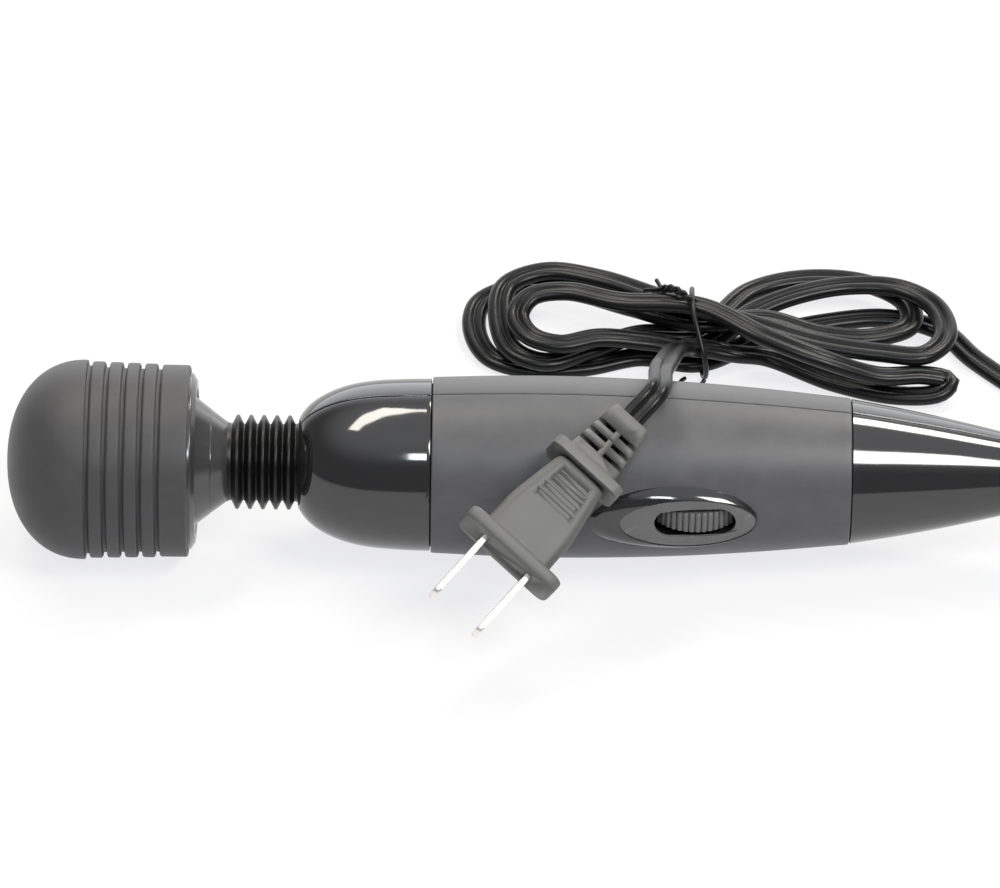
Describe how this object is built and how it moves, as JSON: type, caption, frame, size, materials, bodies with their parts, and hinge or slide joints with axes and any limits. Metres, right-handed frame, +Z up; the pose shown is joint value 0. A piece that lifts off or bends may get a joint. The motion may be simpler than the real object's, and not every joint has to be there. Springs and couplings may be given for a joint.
{
  "type": "handheld wand massager",
  "caption": "Corded wand massager: ribbed soft head on a flexible bellows neck, tapered two-shell handle with a thumb wheel, bundled flat cord and two-blade plug.",
  "frame": {"origin": "middle of the bounding box's bottom, on the table", "axes": "+X along the wand from the head to the cord, +Y from the wand towards the bundled cord, +Z up"},
  "size_m": [0.2728, 0.1578, 0.0517],
  "materials": {
    "soft_grey": "matt, fine-grained",
    "grip_grey": "soft-touch matt",
    "gloss_black": "high gloss",
    "satin_grey": "satin",
    "black_rubber": "semi-gloss",
    "cord_black": "semi-gloss",
    "plug_grey": "matt moulded",
    "nickel": "bright plated",
    "steel": "ground",
    "zinc": "zinc plated",
    "copper": "bare copper",
    "brass": "machined",
    "dark_plastic": "moulded",
    "white_plastic": "moulded",
    "ferrite": "sintered",
    "carbon": "pressed carbon",
    "board_green": "solder mask",
    "hose_grey": "matt",
    "lead_red": "satin"
  },
  "bodies": {
    "handle": {"neck_socket": "dark_plastic", "motor_can": "zinc", "motor_end_cap": "white_plastic", "motor_magnet_upper": "ferrite", "motor_magnet_lower": "ferrite", "motor_bush_front": "brass", "motor_bush_rear": "brass", "brush_upper": "carbon", "brush_lower": "carbon", "motor_ring_front": "black_rubber", "motor_ring_rear": "black_rubber", "front_shell": "gloss_black", "back_shell": "gloss_black", "grip_front": "grip_grey", "grip_back": "grip_grey", "shell_screw_1": "steel", "shell_screw_2": "steel", "shell_screw_3": "steel", "shell_screw_4": "steel", "switch_bezel": "gloss_black", "dial_plate": "satin_grey", "speed_potentiometer": "dark_plastic", "control_board": "board_green", "smoothing_capacitor": "dark_plastic", "triac": "dark_plastic", "heat_sink": "zinc", "fuse": "white_plastic", "choke": "copper", "motor_lead_red": "lead_red", "motor_lead_black": "dark_plastic", "mains_lead_live": "dark_plastic", "mains_lead_neutral": "white_plastic", "cord_boot": "black_rubber", "cord_clamp_bar": "dark_plastic", "cord_clamp_base": "dark_plastic", "clamp_screw_left": "steel", "clamp_screw_right": "steel", "plug_body": "plug_grey", "plug_boot": "plug_grey", "plug_blade_left": "nickel", "plug_blade_right": "nickel", "power_cord": "cord_black", "cord_tie": "black_rubber"},
    "neck": {"neck_bellows": "black_rubber", "neck_spring": "steel"},
    "head": {"head_cover": "soft_grey", "head_core": "dark_plastic", "head_base": "gloss_black", "head_bearing_front": "steel", "head_bearing_rear": "steel"},
    "eccentric": {"eccentric_weight": "zinc", "eccentric_shaft": "steel"},
    "coupling": {"drive_coupling": "hose_grey"},
    "rotor": {"motor_shaft": "steel", "armature_stack": "steel", "armature_coil_1": "copper", "armature_coil_2": "copper", "armature_coil_3": "copper", "commutator": "copper"},
    "dial": {"speed_dial": "dark_plastic"}
  },
  "joints": [
    {"name": "neck_pitch", "type": "hinge", "parent": "handle", "child": "neck", "pos_m": [-0.0789, -0.02175, 0.02249], "axis": [0, 1, 0], "range_deg": [-15, 15], "stiffness_Nm_per_rad": 0.6, "deforming": ["neck_bellows", "neck_spring", "drive_coupling"]},
    {"name": "neck_yaw", "type": "hinge", "parent": "neck", "child": "head", "pos_m": [-0.0789, -0.02175, 0.02249], "axis": [0, 0, 1], "range_deg": [-15, 15], "stiffness_Nm_per_rad": 0.6, "deforming": ["neck_bellows", "neck_spring", "drive_coupling"]},
    {"name": "rotor_spin", "type": "hinge", "parent": "handle", "child": "rotor", "pos_m": [-0.0414, -0.02175, 0.02249], "axis": [1, 0, 0], "continuous": true},
    {"name": "coupling_spin", "type": "hinge", "parent": "neck", "child": "coupling", "pos_m": [-0.0789, -0.02175, 0.02249], "axis": [1, 0, 0], "continuous": true},
    {"name": "eccentric_spin", "type": "hinge", "parent": "head", "child": "eccentric", "pos_m": [-0.1129, -0.02175, 0.02249], "axis": [1, 0, 0], "continuous": true},
    {"name": "dial_turn", "type": "hinge", "parent": "handle", "child": "dial", "pos_m": [0.0178, -0.03055, 0.02249], "axis": [0, 0, 1], "range_deg": [0, 270]}
  ],
  "couplings": [
    {"joint": "coupling_spin", "follows": "rotor_spin", "ratio": 1},
    {"joint": "eccentric_spin", "follows": "rotor_spin", "ratio": 1}
  ]
}
